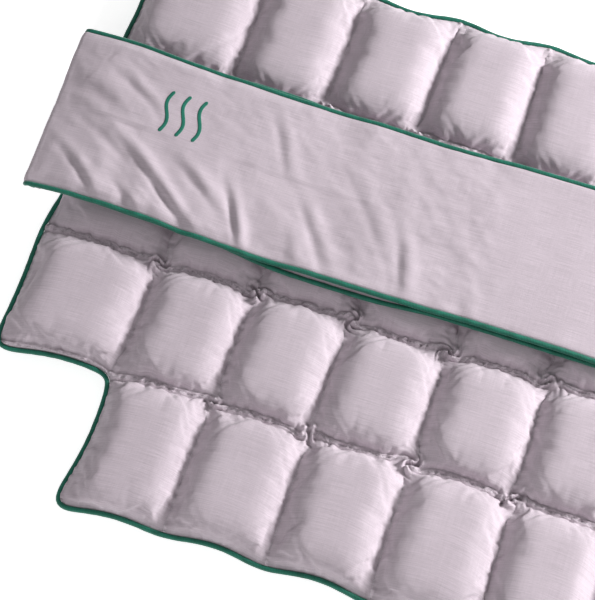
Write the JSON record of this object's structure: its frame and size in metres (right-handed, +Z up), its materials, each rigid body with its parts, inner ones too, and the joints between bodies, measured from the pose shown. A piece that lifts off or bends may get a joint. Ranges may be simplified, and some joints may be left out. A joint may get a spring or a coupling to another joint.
{
  "type": "infrared sauna blanket",
  "caption": "Quilted heating wrap with filled pockets and corded edges; a wide band across it folds back over itself at both ends, and an inlet sits in one edge.",
  "frame": {"origin": "on the floor under the middle of the blanket", "axes": "+X along the band towards the inlet end, +Y across towards the edge that the band lies nearer to, +Z up"},
  "size_m": [1.3166, 0.6266, 0.056],
  "materials": {
    "cloth": "woven cotton chambray, matt with a soft sheen",
    "wadding": "white polyester wadding",
    "carrier": "non-woven sheet",
    "foil": "bright foil",
    "wire": "carbon heating wire in a silicone sleeve",
    "lead": "silicone-sleeved lead",
    "piping": "satin-wrapped cord",
    "plastic": "moulded, fine spark texture",
    "plastic_dark": "moulded",
    "brass": "turned",
    "steel": "plated",
    "hook": "hook and loop tape",
    "print": "heat-transfer film"
  },
  "bodies": {
    "right_half": {"backing_cloth_right": "cloth", "band_fold_right": "cloth", "band_middle": "cloth", "base_interlining_right": "wadding", "base_lower_cloth_right": "cloth", "base_piping_lower_right": "piping", "base_piping_upper_right": "piping", "base_upper_cloth_right": "cloth", "edge_piping_right_lower": "piping", "edge_piping_right_upper": "piping", "face_cloth_right": "cloth", "feed_lead": "lead", "heater_carrier_right": "carrier", "heating_wire_right": "wire", "inlet_pin_1": "brass", "inlet_pin_2": "brass", "inlet_pin_3": "brass", "inlet_pin_4": "brass", "inlet_screw_1": "steel", "inlet_screw_2": "steel", "inlet_shell_lower": "plastic", "inlet_shell_upper": "plastic", "inlet_socket": "plastic_dark", "inlet_tongue": "plastic", "insulation_wadding_right": "wadding", "pocket_wadding_right": "wadding", "reflective_foil_right": "foil", "return_lead": "lead", "temperature_sensor": "plastic_dark", "thermal_cutout_right": "plastic_dark"},
    "left_half": {"backing_cloth_left": "cloth", "band_fold_left": "cloth", "base_interlining_left": "wadding", "base_lower_cloth_left": "cloth", "base_piping_lower_left": "piping", "base_piping_upper_left": "piping", "base_upper_cloth_left": "cloth", "edge_piping_left": "piping", "face_cloth_left": "cloth", "heater_carrier_left": "carrier", "heating_wire_left": "wire", "insulation_wadding_left": "wadding", "pocket_wadding_left": "wadding", "reflective_foil_left": "foil", "thermal_cutout_left": "plastic_dark"},
    "left_arm": {"arm_interlining_left": "wadding", "arm_lower_cloth_left": "cloth", "arm_piping_left": "piping", "arm_upper_cloth_left": "cloth", "heat_mark_1": "print", "heat_mark_2": "print", "heat_mark_3": "print", "hook_patch": "hook"},
    "right_arm": {"arm_interlining_right": "wadding", "arm_lower_cloth_right": "cloth", "arm_piping_right": "piping", "arm_upper_cloth_right": "cloth", "loop_patch": "hook"}
  },
  "joints": [
    {"name": "half_fold", "type": "hinge", "parent": "right_half", "child": "left_half", "pos_m": [0, 0, 0.016], "axis": [0, 1, 0], "range_deg": [0, 90], "deforming": ["band_middle"]},
    {"name": "left_arm_unfold", "type": "hinge", "parent": "left_half", "child": "left_arm", "pos_m": [-0.652, 0.064, 0.0483], "axis": [0, -1, 0], "range_deg": [0, 180]},
    {"name": "right_arm_unfold", "type": "hinge", "parent": "right_half", "child": "right_arm", "pos_m": [0.652, 0.064, 0.0483], "axis": [0, 1, 0], "range_deg": [0, 180]}
  ]
}
